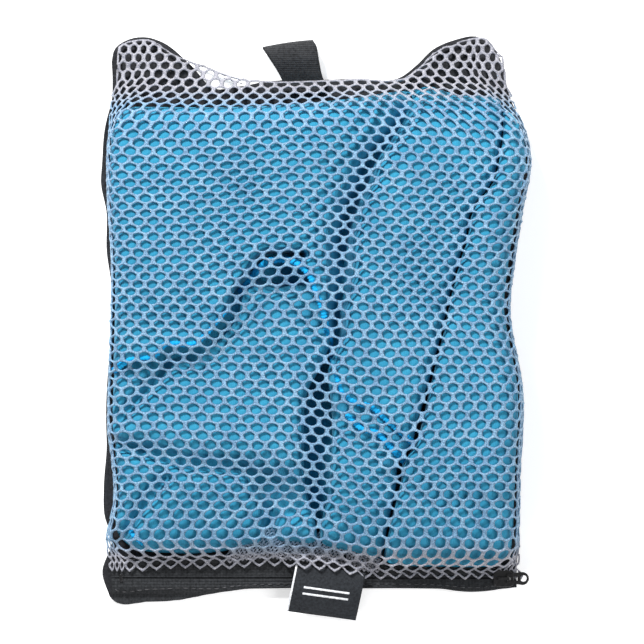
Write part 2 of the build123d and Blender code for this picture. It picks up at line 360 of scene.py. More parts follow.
def make_piece(name, points, faces, material, body=None):
    """A mesh object from points in millimetres."""
    mesh = bpy.data.meshes.new(name)
    mesh.from_pydata((np.asarray(points, float) * MM).tolist(), [], np.asarray(faces).tolist())
    mesh.validate()
    mesh.update()
    piece = bpy.data.objects.new(name, mesh)
    bpy.context.scene.collection.objects.link(piece)
    mesh.polygons.foreach_set("use_smooth", [True] * len(mesh.polygons))
    mesh.materials.append(material)
    if body:
        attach(piece, body)
    return piece


def grid_faces(rows, columns_count):
    """Quads of a rows by columns grid of points."""
    i, j = np.meshgrid(np.arange(rows - 1), np.arange(columns_count - 1), indexing="ij")
    a = (i * columns_count + j).ravel()
    return np.stack([a, a + 1, a + columns_count + 1, a + columns_count], axis=1)


def apply_modifiers(piece):
    """The piece's mesh with its modifiers in it."""
    seen = piece.evaluated_get(bpy.context.evaluated_depsgraph_get())
    mesh = bpy.data.meshes.new_from_object(seen)
    piece.modifiers.clear()
    old, piece.data = piece.data, mesh
    bpy.data.meshes.remove(old)
    return piece


def thicken(piece, thickness):
    """Cloth of that thickness, in millimetres, about the sheet's middle."""
    solid = piece.modifiers.new("cloth", "SOLIDIFY")
    solid.thickness = thickness * MM
    solid.offset = 0
    solid.use_even_offset = False
    bpy.context.view_layer.update()
    return apply_modifiers(piece)


def cloth_grid(name, points, thickness, material, body):
    """A sheet of cloth from a grid of points, rows by columns by 3."""
    rows, count = points.shape[:2]
    piece = make_piece(name, points.reshape(-1, 3), grid_faces(rows, count), material)
    thicken(piece, thickness)
    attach(piece, body)
    return piece


def tube_faces(first, rings, sides):
    """Quads of a tube whose rings of points follow each other from point first."""
    faces = []
    for r in range(first, first + sides * (rings - 1), sides):
        for k in range(sides):
            n = (k + 1) % sides
            faces.append([r + k, r + n, r + sides + n, r + sides + k])
    return faces


def tube_along(name, path, radii, material, body, sides=8):
    """A closed tube along a path of points. radii has a radius across and one up for each point."""
    ahead = unit(np.gradient(path, axis=0))
    across = unit(np.cross(ahead, [0, 0, 1.0]))
    up = np.cross(across, ahead)
    turn = np.arange(sides) * 2 * math.pi / sides
    ring = (
        path[:, None]
        + across[:, None] * (radii[:, :1] * np.cos(turn))[..., None]
        + up[:, None] * (radii[:, 1:] * np.sin(turn))[..., None]
    )
    last = (len(path) - 1) * sides
    faces = tube_faces(0, len(path), sides)
    faces.append(list(range(sides))[::-1])
    faces.append([last + s for s in range(sides)])
    return make_piece(name, ring.reshape(-1, 3), np.array(faces, dtype=object), material, body)


# ---- Materials -----------------------------------------------------------------------------------

cloth_specular = .2                     # cloth and yarn shine less than a smooth surface


def node_material(name, color, rough, build=None, sheen=0.0, coat=0.0):
    """A Principled material. build(tree, shader) adds its colour and bump nodes."""
    material = bpy.data.materials.new(name)
    material.use_nodes = True
    tree = material.node_tree
    shader = tree.nodes["Principled BSDF"]
    shader.inputs["Base Color"].default_value = (*color, 1)
    shader.inputs["Roughness"].default_value = rough
    shader.inputs["Sheen Weight"].default_value = sheen
    shader.inputs["Coat Weight"].default_value = coat
    if build:
        build(tree, shader)
    return material


def object_place(tree):
    """Object coordinates, in metres."""
    return tree.nodes.new("ShaderNodeTexCoord").outputs["Object"]


def noise(tree, place, scale, detail=3.0, rough=.6):
    """A noise texture's value, with scale in repeats per metre."""
    texture = tree.nodes.new("ShaderNodeTexNoise")
    texture.inputs["Scale"].default_value = scale
    texture.inputs["Detail"].default_value = detail
    texture.inputs["Roughness"].default_value = rough
    tree.links.new(place, texture.inputs["Vector"])
    return texture.outputs["Fac"]


def ramp(tree, value, stops):
    """A colour ramp through (position, colour) stops."""
    made = tree.nodes.new("ShaderNodeValToRGB")
    elements = made.color_ramp.elements
    while len(elements) < len(stops):
        elements.new(.5)
    for element, (position, color) in zip(elements, stops):
        element.position = position
        element.color = (*color, 1)
    tree.links.new(value, made.inputs["Fac"])
    return made.outputs["Color"]


def math_node(tree, operation, a, b):
    """A sum or product of two sockets or numbers."""
    made = tree.nodes.new("ShaderNodeMath")
    made.operation = operation
    for socket, value in zip(made.inputs, (a, b)):
        if isinstance(value, (int, float)):
            socket.default_value = value
        else:
            tree.links.new(value, socket)
    return made.outputs[0]


def mixed_color(tree, factor, a, b, blend="MIX"):
    """Two colours mixed by a factor. Each may be a socket or a plain value."""
    made = tree.nodes.new("ShaderNodeMix")
    made.data_type = "RGBA"
    made.blend_type = blend
    for socket, value in ((made.inputs[0], factor), (made.inputs[6], a), (made.inputs[7], b)):
        if isinstance(value, (int, float)):
            socket.default_value = value
        elif isinstance(value, tuple):
            socket.default_value = (*value, 1)
        else:
            tree.links.new(value, socket)
    return made.outputs[2]


def bump(tree, shader, height, strength, distance):
    """Bump on the shader, with distance in millimetres."""
    made = tree.nodes.new("ShaderNodeBump")
    made.inputs["Strength"].default_value = strength
    made.inputs["Distance"].default_value = distance * MM
    tree.links.new(height, made.inputs["Height"])
    tree.links.new(made.outputs["Normal"], shader.inputs["Normal"])


def waves(tree, place, direction, pitch_mm):
    """Even ribs, pitch_mm apart, across the X, Y or Z direction."""
    made = tree.nodes.new("ShaderNodeTexWave")
    made.wave_type = "BANDS"
    made.bands_direction = direction
    made.wave_profile = "SIN"
    made.inputs["Scale"].default_value = .314 / (pitch_mm * MM)
    made.inputs["Distortion"].default_value = .6
    made.inputs["Detail"].default_value = 1
    made.inputs["Detail Scale"].default_value = 2
    tree.links.new(place, made.inputs["Vector"])
    return made.outputs["Fac"]


def towel_nodes(tree, shader):
    """Mottled microfibre with a short nap and faint ribs."""
    place = object_place(tree)
    mottle = noise(tree, place, 55, 4)
    nap = noise(tree, place, 1500, 2)
    tone = ramp(tree, mottle, [(.3, (.018, .25, .42)), (.55, (.025, .31, .50)), (.75, (.035, .36, .56))])
    fibre = ramp(tree, nap, [(.3, (.78, .80, .82)), (.7, (1.0, 1.0, 1.0))])
    tree.links.new(mixed_color(tree, .8, tone, fibre, "MULTIPLY"), shader.inputs["Base Color"])
    rib = waves(tree, place, "X", .9)
    height = math_node(tree, "ADD", math_node(tree, "MULTIPLY", rib, .35), nap)
    bump(tree, shader, height, .55, .25)


def yarn_nodes(tree, shader):
    """Twisted knitting yarn, with painted blue light from the towel where the towel lies behind it."""
    place = object_place(tree)
    wide = noise(tree, place, 120, 2)
    twist = noise(tree, place, 1900, 3, .7)
    # painted light: these blues stand for light from the blue towel falling on the pale yarn
    tone = ramp(tree, wide, [(.35, (.16, .32, .505)), (.65, (.225, .41, .585))])
    # painted light: no blue from the towel where no towel lies behind the threads, so the yarn shows its own
    # pale grey there
    split = tree.nodes.new("ShaderNodeSeparateXYZ")
    tree.links.new(place, split.inputs[0])
    no_painted_towel_light = ramp(tree, math_node(tree, "ADD", split.outputs["Y"], .5),
                [(.406, (1, 1, 1)), (.413, (0, 0, 0)), (.586, (0, 0, 0)), (.592, (1, 1, 1))])
    tone = mixed_color(tree, no_painted_towel_light, tone, (.38, .38, .43))
    loops = ramp(tree, twist, [(.36, (.34, .36, .42)), (.5, (.85, .87, .9)), (.66, (1.5, 1.45, 1.35))])
    tree.links.new(mixed_color(tree, .9, tone, loops, "MULTIPLY"), shader.inputs["Base Color"])
    bump(tree, shader, twist, .9, .3)


def woven_nodes(dark, light, pitch, strength=.5, flecks=.62):
    """Plain weave: two crossing ribs, with scattered lighter flecks."""
    def build(tree, shader):
        place = object_place(tree)
        warp = waves(tree, place, "X", pitch)
        weft = waves(tree, place, "Y", pitch)
        weave = math_node(tree, "MULTIPLY", warp, weft)
        grain = noise(tree, place, 900, 3, .7)
        mottled = math_node(tree, "ADD", math_node(tree, "MULTIPLY", weave, .5), grain)
        tone = ramp(tree, mottled, [(.35, dark), (flecks, light), (.95, tuple(c * 1.9 for c in light))])
        tree.links.new(tone, shader.inputs["Base Color"])
        bump(tree, shader, math_node(tree, "ADD", weave, grain), strength, .25)
        shader.inputs["Specular IOR Level"].default_value = cloth_specular
    return build


def lacquer_nodes(tree, shader):
    """Black lacquer with slight wear."""
    place = object_place(tree)
    wear = noise(tree, place, 700, 4)
    rough = ramp(tree, wear, [(.3, (.16, .16, .16)), (.7, (.3, .3, .3))])
    tree.links.new(rough, shader.inputs["Roughness"])
    tree.links.new(ramp(tree, wear, [(.4, (.008, .008, .009)), (.8, (.022, .022, .024))]),
              shader.inputs["Base Color"])
    bump(tree, shader, wear, .15, .05)


def trim_nodes(tree, shader):
    """Bright sewing yarn."""
    place = object_place(tree)
    yarn = noise(tree, place, 1300, 3, .7)
    tree.links.new(ramp(tree, yarn, [(.3, (.002, .28, .60)), (.65, (.006, .47, .92))]),
              shader.inputs["Base Color"])
    shader.inputs["Specular IOR Level"].default_value = cloth_specular
    bump(tree, shader, yarn, .8, .3)


towel_cloth = node_material("towel_microfibre", (.06, .46, .62), .9, towel_nodes, sheen=.08)
towel_trim = node_material("towel_overlock_yarn", (.006, .45, .75), .7, trim_nodes, sheen=.05)
mesh_yarn = node_material("knitted_mesh_yarn", (.5, .52, .66), .45, yarn_nodes, sheen=.1)
back_cloth = node_material("charcoal_plain_weave", (.05, .05, .055), .8,
                           woven_nodes((.006, .0065, .008), (.026, .027, .031), .55), sheen=.03)
tape_cloth = node_material("ribbed_zip_tape", (.04, .04, .044), .75,
                           woven_nodes((.006, .0064, .0075), (.026, .028, .031), .6, .6), sheen=.02)
webbing = node_material("loop_webbing_weave", (.05, .052, .056), .75,
                        woven_nodes((.007, .0075, .0085), (.03, .0315, .034), .8, .6), sheen=.03)
label_weave = node_material("label_damask", (.03, .034, .042), .65,
                            woven_nodes((.007, .008, .01), (.022, .025, .03), .4, .4), sheen=.03)
label_light = node_material("label_light_weft", (.72, .74, .78), .6,
                            woven_nodes((.5, .52, .56), (.8, .82, .85), .4, .4))
dark_thread = node_material("charcoal_thread", (.03, .03, .033), .7,
                            woven_nodes((.015, .015, .017), (.05, .05, .055), .5))
grey_thread = node_material("grey_thread", (.05, .05, .055), .7,
                            woven_nodes((.03, .03, .033), (.08, .08, .085), .5))
coil_plastic = node_material("nylon_coil", (.02, .02, .022), .45, lacquer_nodes)
lacquer = node_material("black_lacquer", (.012, .012, .013), .2, lacquer_nodes, coat=.35)


# ---- Towel ---------------------------------------------------------------------------------------

cloth_thick = .7
layer_pitch = .82                       # from one folded layer to the next
bottom_gap = .8                         # the outer turn's foot above the towel's underside
wall_steps = 24                         # rings of points down the outer turn's walls
fold_inset, fold_round = 2.4, 4.8       # the inner folds' distance from the outer turn, and their round


def spread_out(count, ends):
    """Shares from 0 to 1, closer together at the two ends."""
    even = np.linspace(0, 1, count)
    return ends * (1 - np.cos(even * math.pi)) / 2 + (1 - ends) * even


def between_ends(share, inset):
    """y at a share of the towel's length along its middle, inset from both ends."""
    return towel_low_end(0.0) + inset + (towel_top_end(0.0) - towel_low_end(0.0) - 2 * inset) * share


def fitted(a, b, y, left, right, limits, turns):
    """Places at shares a of the width and b of the length, where the sides depend on y and the ends on x."""
    for _ in range(turns):
        x = left(y) + (right(y) - left(y)) * a
        y_low, y_high = limits(x, y)
        y = .5 * y + .5 * (y_low + (y_high - y_low) * b)
    return x, y


def column_shell(name, count_across, count_along=58):
    """The outer turn of one folded column: its top, and walls that follow the folds' edges down."""
    left, right = columns[name][:2]
    a, b = np.meshgrid(spread_out(count_across, .8), spread_out(count_along, .55), indexing="ij")
    x, y = fitted(a, b, between_ends(b, 0), left, right, lambda x, y: column_ends(name, x, y), 8)
    flat = points_of(x, y, np.maximum(column_surface(name, x, y), 7)).reshape(-1, 3)
    index = np.arange(a.size).reshape(a.shape)
    loop = np.concatenate([index[:-1, 0], index[-1, :-1], index[:0:-1, -1], index[0, :0:-1]])
    rim = flat[loop]
    ahead = np.roll(rim, -1, axis=0) - np.roll(rim, 1, axis=0)
    out = unit(np.stack([ahead[:, 1], -ahead[:, 0]], axis=1))
    run = lengths_along(rim[:, :2])
    bottom = cloth_bottom + bottom_gap
    rings, previous = [flat], loop
    total = len(flat)
    all_faces = [grid_faces(*a.shape)]
    for k in range(1, wall_steps + 1):
        f = k / wall_steps
        z_ring = rim[:, 2] + (bottom - rim[:, 2]) * f
        level = z_ring + .7 * np.sin(run / 17 + 1) + .45 * np.sin(run / 6.3 + f)
        ply = np.abs(np.sin(level * math.pi / 2.5)) ** .7
        fold = np.abs(np.sin((level + .9) * math.pi / 8.3)) ** .6
        push = (ply - 1) * .55 + (fold - 1) * 1.1 * ease(f * 4) + .3 * math.sin(f * math.pi)
        push = push * ease(f * 5) - 1.6 * ease((f - .85) / .15)
        rings.append(points_of(rim[:, 0] + out[:, 0] * push, rim[:, 1] + out[:, 1] * push, z_ring))
        now = total + np.arange(len(loop))
        total += len(loop)
        all_faces.append(np.stack([previous, now, np.roll(now, -1), np.roll(previous, -1)], axis=1))
        previous = now
    return np.concatenate(rings), np.concatenate(all_faces)


def inner_folds(name, count_across=6, count_along=16):
    """The zigzag folds inside one column, one run of cloth from the top down."""
    left, right, _, _, _, _, rise = columns[name]
    height = cloth_top - 7.5 + rise - cloth_bottom
    layers = int(height / layer_pitch)
    runs = []
    for k in range(layers):
        eta = (layers - k - .5) / layers
        near_end = min(max((abs(2 * eta - 1) - .3) / .7, 0), 1)
        inset = fold_inset + fold_round * (1 - math.sqrt(1 - near_end**2))
        a, b = shares(count_across, count_along)
        y = between_ends(b, 8)
        x_low, x_high = left(y) + inset, right(y) - inset
        x = x_low + (x_high - x_low) * a
        top = np.minimum(column_top(x, y), cloth_top - 6) + rise - 3.2
        z = cloth_bottom + 1.2 + (top - cloth_bottom - 1.2) * eta
        grid = points_of(x, y, z)
        runs.append(grid if k % 2 == 0 else grid[::-1])
    path = [runs[0]]
    for run in runs[1:]:
        start, end = path[-1][-1], run[0]
        outward = unit((start - path[-1][-2]) * [1, 1, 0])
        path.append(((start + end) / 2 + outward * layer_pitch * .45)[None])
        path.append(run)
    points = np.concatenate(path)
    return points.reshape(-1, 3), grid_faces(*points.shape[:2])


def free_end_points(count=96, rows=84):
    """The free end: a skirt down the left side, over the top, and down into the right-hand crease."""
    a, b = np.meshgrid(spread_out(count, .35), np.linspace(0, 1, rows) ** 1.5, indexing="ij")
    x, y = fitted(a, b, y_at(.45 + .5 * b), free_left, free_right, free_end_limits, 10)
    grid = points_of(x, y, free_end_surface(x, y))
    # down the top end, and down both sides
    steps = np.arange(1, 9) / 8
    tail = grid[:, -1:] + points_of(0, .3 * np.sin(steps * 9), -9 * steps)
    grid = np.concatenate([grid, tail], axis=1)
    skirts = []
    for side, depth in ((0, 9.0), (-1, 8.0)):
        steps = np.linspace(0, 1, 7)[1:, None, None]
        down = grid[side][None] - steps * np.array([0, 0, depth])
        down[..., 2] = np.maximum(down[..., 2], 3.0)
        skirts.append(down)
    grid = np.concatenate([skirts[0][::-1], grid, skirts[1]])
    grid[..., 2] = np.maximum(grid[..., 2], cloth_bottom + 1.6)
    return grid


def free_end_limits(x, y):
    """Where the free end starts and ends along Y at each x, its left corner rounded off in plan."""
    cut = 8 * (1 - quarter((x - free_left(y)) / 8))
    return hem_line(x), towel_top_end(x) + .8 - cut


def free_end_surface(x, y):
    """Height of the free end, with its sides and its top end rounded down."""
    z = sides_down(x, y, flap_top(x, y), free_left(y), free_right(y), 7, 5.5)
    _, y_high = free_end_limits(x, y)
    return z - (end_round + 1) * (1 - quarter((y_high - y) / (end_round + 1)))


def base_ply():
    """The lowest layer, which joins the folded columns across their creases."""
    a, b = shares(30, 30)
    y = between_ends(b, 7)
    x = towel_left(y) + 4 + (towel_right(y) - towel_left(y) - 8) * a
    return points_of(x, y, cloth_bottom + .45)


free_grid, base_grid = free_end_points(), base_ply()
parts = [
    column_shell("left_folds", 70, 110),
    column_shell("middle_folds", 28),
    column_shell("side_fold", 26),
    *[inner_folds(name) for name in columns],
    (free_grid.reshape(-1, 3), grid_faces(*free_grid.shape[:2])),
    (base_grid.reshape(-1, 3), grid_faces(*base_grid.shape[:2])),
]
offsets = np.cumsum([0] + [len(points) for points, _ in parts[:-1]])
towel = make_piece(
    "folded_towel",
    np.concatenate([points for points, _ in parts]),
    np.concatenate([faces + start for (_, faces), start in zip(parts, offsets)]),
    towel_cloth,
)
thicken(towel, cloth_thick)
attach(towel, "towel")


bead_across, bead_up = 1.3, .75
bead_step, wrap_pitch = .35, 1.4


def overlock(name, path):
    """The sewn edge of the towel: a flat bead wrapped by its own stitches."""
    run = lengths_along(path)
    at = np.arange(0, run[-1], bead_step)
    wrap = 1 + .16 * np.sin(at * 2 * math.pi / wrap_pitch)
    radii = np.stack([bead_across * wrap, bead_up * wrap], axis=1)
    return tube_along(name, path_at(path, run, at), radii, towel_trim, "towel")


hem_path = free_grid[6:-6, 0] + [0, -.2, .05]
upper_trim = overlock("towel_hem_overlock", hem_path)
under_x = np.linspace(.13, .47, 30) * half
under_y = under_hem_line(under_x)
under_z = sides_down(under_x, under_y, column_top(under_x, under_y + 1.2), *[
    f(under_y) for f in columns["middle_folds"][:2]], 5.5, 5)
lower_trim = overlock("towel_under_hem_overlock", points_of(under_x, under_y - .2, under_z - .1))
corner_x = np.linspace(-.875, -.815, 8) * half
corner_y = y_at(np.linspace(.072, .046, 8))
corner_z = column_surface("left_folds", corner_x, corner_y) + .2
corner_trim = overlock("towel_corner_overlock", points_of(corner_x, corner_y, corner_z))


# ---- Mesh ------------------------------------------------------------------------------------------

zigzag = 1.15                           # how far a row's nodes lie to and fro
cells_across = 33
rows_up = 60                            # from the zip to the top seam
ear_rows = 5                            # past the top seam
wall_columns = 6                        # down each side of the towel
strand_gap = .85                        # from the towel to the middle of a thread
bridge = 15                             # how far the taut mesh bridges a hollow, in surface steps
surface_step = .75
taut_slope = .45
tape_climb = .3                         # the front tape's rise from the zip to the seam, per mm
ear_row = .0185                         # an ear's row, as a share of the length
# how far apart the knots lie, across and along, as the mesh is drawn over the towel
spread_across = smooth_curve([(-1, 5.8), (-.7, 6.2), (-.3, 6.5), (.1, 6.4), (.4, 6.1), (.6, 5.9), (1, 5.9)])
spread_along = smooth_curve([(0, 5.4), (.05, 4.9), (.11, 3.9), (.3, 3.7), (.5, 3.5), (.62, 3.25), (.8, 3.2),
                             (.9, 3.7), (.95, 4.9), (1, 5.2)])


def sampled_surface():
    """The towel's height on a fine grid, with steep skirts round it, for the mesh to lie on."""
    xs = np.arange(-half - 8, half + 8, surface_step)
    ys = np.arange(zip_edge - 8, seam_top + 24, surface_step)
    x, y = np.meshgrid(xs, ys, indexing="ij")
    z = np.full(x.shape, floor_z + 1.0)

    def skirted(top, x_low, x_high, y_low, y_high):
        """A steep fall past the sides, and an easy one from the ends to the seams."""
        beside = np.maximum.reduce([x_low - x, x - x_high, 0 * x])
        past = np.maximum.reduce([y_low - y, y - y_high, 0 * x])
        return top - np.maximum(8.0 * beside, 1.15 * past) - 60 * (beside > 3)

    for name, (left, right, *_rest) in columns.items():
        inside_y = np.clip(y, *column_ends(name, x, y))
        top = column_surface(name, np.clip(x, left(y), right(y)), inside_y) + 2
        z = np.maximum(z, skirted(top, left(y), right(y), *column_ends(name, x, y)) - 2)
    y_low, y_high = free_end_limits(x, y)
    top = free_end_surface(np.clip(x, free_left(y), free_right(y)), np.clip(y, y_low, y_high))
    z = np.maximum(z, skirted(top, free_left(y), free_right(y), y_low - 200, y_high) - 99 * (y < y_low))
    z = spread_over(z, 2)
    # the taut mesh bridges the creases
    cover = -spread_over(-spread_over(z, bridge), bridge)
    for _ in range(10):
        cover = np.maximum(softened(cover), z + .1)
    # and comes down a step in the cloth at an easy slope
    inside = ease((x - towel_left(y) - 6) / 4) * ease((towel_right(y) - x - 10) / 4)
    inside = inside * ease((along(y) - .07) / .05) * ease((.93 - along(y)) / .05)
    taut = cover
    for _ in range(14):
        for axis in (0, 1):
            for shift in (1, -1):
                taut = np.maximum(taut, np.roll(taut, shift, axis) - taut_slope * surface_step)
    cover = cover + (taut - cover) * inside
    return xs, ys, softened(cover) + cloth_thick / 2


def spread_over(z, reach):
    """The highest value within reach cells each way."""
    out = z.copy()
    for axis in (0, 1):
        line = out
        for k in range(1, reach + 1):
            for shift in (k, -k):
                moved = np.roll(line, shift, axis=axis)
                edge = [slice(None), slice(None)]
                edge[axis] = slice(0, k) if shift > 0 else slice(-k, None)
                moved[tuple(edge)] = line[tuple(edge)]
                out = np.maximum(out, moved)
    return out


def neighbours(table):
    """The sum of the four values beside each inner value of a table."""
    return table[:-2, 1:-1] + table[2:, 1:-1] + table[1:-1, :-2] + table[1:-1, 2:]


def softened(z):
    """z with each inner value drawn towards its neighbours."""
    out = z.copy()
    out[1:-1, 1:-1] = .4 * z[1:-1, 1:-1] + .15 * neighbours(z)
    return out


surface_x, surface_y, surface_z = sampled_surface()
slope_x, slope_y = np.gradient(surface_z, surface_x, surface_y)


def sample(table, x, y):
    """Bilinear reading of a table on the sampled grid."""
    i = np.clip((x - surface_x[0]) / (surface_x[1] - surface_x[0]), 0, len(surface_x) - 1.001)
    j = np.clip((y - surface_y[0]) / (surface_y[1] - surface_y[0]), 0, len(surface_y) - 1.001)
    i0, j0 = i.astype(int), j.astype(int)
    f, g = i - i0, j - j0
    return (
        table[i0, j0] * (1 - f) * (1 - g) + table[i0 + 1, j0] * f * (1 - g)
        + table[i0, j0 + 1] * (1 - f) * g + table[i0 + 1, j0 + 1] * f * g
    )


def outline_points(points):
    """A smooth outline through points of (share of the half width, share of the length)."""
    pts = np.array(points, float)
    run = lengths_along(pts * [half, pouch_length])
    u, v = (smooth_curve(np.stack([run, pts[:, k]], axis=1)) for k in (0, 1))
    return lambda f: np.stack([half * u(f * run[-1]), y_at(v(f * run[-1]))], axis=-1)


# The mesh's top edge, from the outer corner of one ear to the other
mesh_top_edge = outline_points([(-.965, 1.035), (-.945, 1.066), (-.81, 1.085), (-.66, 1.05), (-.55, 1.033),
                                (-.36, 1.003), (-.22, .996), (0, .997), (.2, 1.0), (.42, 1.004),
                                (.5, 1.03), (.58, 1.062), (.70, 1.083), (.80, 1.087), (.88, 1.05)])
lower_edge_y = end_curve([(-1, -.004), (-.65, .002), (-.36, .004), (-.12, .008), (.1, -.004), (.25, -.016),
                          (.6, -.018), (.85, -.02), (1, -.018)])


def front_tape_z(y):
    """Height of the front zip tape's middle, which climbs from the zip to the seam."""
    return tape_z + tape_climb * np.maximum(y - zip_middle - slider_clear, 0)


def label_lift(x):
    """How far the label under its edge lifts the mesh."""
    middle = (label_low[0] + label_high[0]) / 2
    return 5.2 * ease((18 - np.abs(x - middle)) / 6)


def respaced(line, spread, axis):
    """The x (axis 0) or y (axis 1) of a line of mesh nodes, spaced over the towel as spread says."""
    t = np.linspace(0, len(line) - 1, 6 * len(line))
    k = np.arange(len(line))
    x, y = np.interp(t, k, line[:, 0]), np.interp(t, k, line[:, 1])
    z = sample(surface_z, x, y)
    z[0], z[-1] = line[0, 2], line[-1, 2]
    steps = np.sqrt(np.diff(x) ** 2 + np.diff(y) ** 2 + np.diff(z) ** 2)
    pitch = spread(along(y) if axis else x / half)
    run = np.concatenate([[0], np.cumsum(steps / ((pitch[1:] + pitch[:-1]) / 2))])
    return np.interp(np.linspace(0, run[-1], len(line)), run, y if axis else x)


def mean_shares(lines):
    """How lines of places run from their starts to their ends, on average."""
    lines = np.array(lines)
    return ((lines - lines[:, :1]) / (lines[:, -1:] - lines[:, :1])).mean(axis=0)


def mesh_grid(down):
    """The mesh's nodes, drawn taut over the towel: a honeycomb with even rows and columns."""
    count = 2 * cells_across + 1
    share = np.linspace(0, 1, count - 2 * wall_columns)
    g = np.linspace(0, 1, rows_up + 1)
    ears = ear_row * np.arange(1, ear_rows + 1)
    y = y_at(np.concatenate([g, 1 + ears]))[:, None].repeat(count, 1)
    for _ in range(5):
        g_all = np.concatenate([g, 1 + ears])[:, None]
        for _ in range(3):
            one = y[:, :1]
            v = along(one)
            fan = np.maximum(ease((v - .86) / .15), .4 * ease((.06 - v) / .06))
            edge_low, edge_high = mesh_left(one) + .3, mesh_right(one) - .9
            wall_low = (towel_left(one) - .9) * (1 - fan) + (edge_low + 2.0 * wall_columns) * fan
            wall_high = (towel_right(one) + .9) * (1 - fan) + (edge_high - 2.0 * wall_columns) * fan
            x = np.concatenate([
                edge_low + (wall_low - edge_low) * down,
                wall_low + (wall_high - wall_low) * share[None],
                edge_high + (wall_high - edge_high) * down[:, ::-1]], axis=1)
            y = lower_edge_y(x) + (seam_top - lower_edge_y(x)) * np.minimum(g_all, 1)
            y = y + pouch_length * np.maximum(g_all - 1, 0)
        points = points_of(x, y, sample(surface_z, x, y))
        points[0, :, 2] = front_tape_high[2] + .7
        lines = points[8:rows_up - 8, wall_columns:-wall_columns]
        share = mean_shares([respaced(line, spread_across, 0) for line in lines])
        g = mean_shares([respaced(points[:rows_up + 1, i], spread_along, 1) for i in range(12, count - 12)])
    return points


def lift_off_cloth(points, down):
    """Move the nodes clear of the cloth, square to its slope, and bring the side walls straight down."""
    x, y = points[..., 0], points[..., 1]
    gx = np.clip(sample(slope_x, x, y), -2, 2)
    gy = np.clip(sample(slope_y, x, y), -2, 2)
    out = unit(points_of(-gx, -gy, 1.0))
    points[1:, wall_columns:-wall_columns] += strand_gap * out[1:, wall_columns:-wall_columns]
    for wall, top, fall, bulge in ((slice(0, wall_columns), wall_columns, down, -.5),
                                   (slice(-wall_columns, None), -wall_columns - 1, down[:, ::-1], .5)):
        points[:, wall, 2] = seam_z + (points[:, top, 2][:, None] - seam_z) * fall
        points[:, wall, 0] += bulge * np.sin(fall * math.pi) * (points[:, wall, 2] > 6)


def shape_top(points, up):
    """Give the rows their zigzag and unevenness, and end them on the top seam and round the ears."""
    rows, count = up.shape
    top_line = mesh_top_edge(np.linspace(0, 1, 200))
    j, i = np.indices(up.shape)
    x, y = points[..., 0].copy(), points[..., 1].copy()
    top_y = np.interp(x, top_line[:, 0], top_line[:, 1])
    free = np.ones(up.shape, bool)
    free[:2], free[:, 0], free[:, -1] = False, False, False
    loose = np.minimum(np.minimum(i, count - 1 - i) / 10, np.minimum(j, rows - 1 - j) / 10)
    loose = np.minimum(loose, 1)
    move = points_of(
        loose * .8 * np.sin(y / 19 + 2 * np.sin(x / 31)),
        loose * 1.1 * np.sin(x / 23 + 1.7 * np.sin(y / 27)) + np.where(up, zigzag / 2, -zigzag / 2),
        0) + chance.normal(0, .12, points.shape)
    points += np.where(free[..., None], move, 0)
    points[..., 1] = np.minimum(points[..., 1], top_y)
    ear_side = points[rows_up - 1:]
    ear_side[:, 0, :2] = ear_side[:, 1, :2] - [.3, 0]
    ear_side[:, -1, :2] = ear_side[:, -2, :2] + [.3, 0]
    past = ease((points[..., 1] - seam_top + 6) / 10)
    wave = 2.4 + 1.5 * np.sin(x / 5.2) + 1.1 * np.sin(y / 3.7 + x / 9)
    ears = ease((np.abs(x / half) - .4) / .12) * past * ease((top_y - points[..., 1] + 2) / 5)
    points[..., 2] = np.maximum(points[..., 2], seam_z + ears * wave)
    at_loop = ease((12 - np.abs(x - (loop_root_low[0] + loop_root_high[0]) / 2)) / 3) * past
    points[..., 2] = np.maximum(points[..., 2], seam_z + 2.4 * at_loop)


def sew_lower_edge(points, up):
    """Sew the lower edge to the front tape, with the cut cells hanging over the zip."""
    edge_x = points[0, :, 0]
    sewn_y = lower_edge_y(edge_x) + 1.6
    points[1] = points_of(edge_x, sewn_y, front_tape_z(sewn_y) + 1.0 + label_lift(edge_x))
    points[0] = points[1] + points_of(1.8 * ease(edge_x / 40), -2.5, -.5)
    points[0, :, 1] += np.where(up[0], 1.1, -1.1) + .35 * np.sin(edge_x / 5)
    points[0, :, 2] += np.where(up[0], 0, .35)
    points[1, :, 1] += np.where(up[1], .8, -.8)
    low = points[2:5]
    low[..., 2] = np.maximum(low[..., 2], front_tape_z(low[..., 1]) + 1.0
                             + label_lift(low[..., 0]) * np.array([.8, .5, .2])[:, None])


def mesh_nodes():
    """The knitted mesh's nodes, rows by columns, from the zip to the ears."""
    down = np.arange(wall_columns)[None] / wall_columns
    points = mesh_grid(down)
    up = np.indices(points.shape[:2]).sum(axis=0) % 2 == 0
    lift_off_cloth(points, down)
    shape_top(points, up)
    sew_lower_edge(points, up)
    return points


# The thread at a cell's twelve places: its width to the hole, and its crest's height. Two threads run
# side by side down each wall, and one along each slant.
thread_widths = np.array(2 * [.95, .42, .44, .42, .95, .95])
thread_crests = np.array(2 * [.34, .40, .40, .40, .34, .22])
thread_shoulder, thread_back = .34, .3
least_cell = 1.9


def with_middles(table):
    """The nodes' values, then those halfway along the slants, then halfway down the walls."""
    parts = table, (table[:, 1:] + table[:, :-1]) / 2, (table[1:] + table[:-1]) / 2
    return np.concatenate([part.reshape(-1, 3) for part in parts])


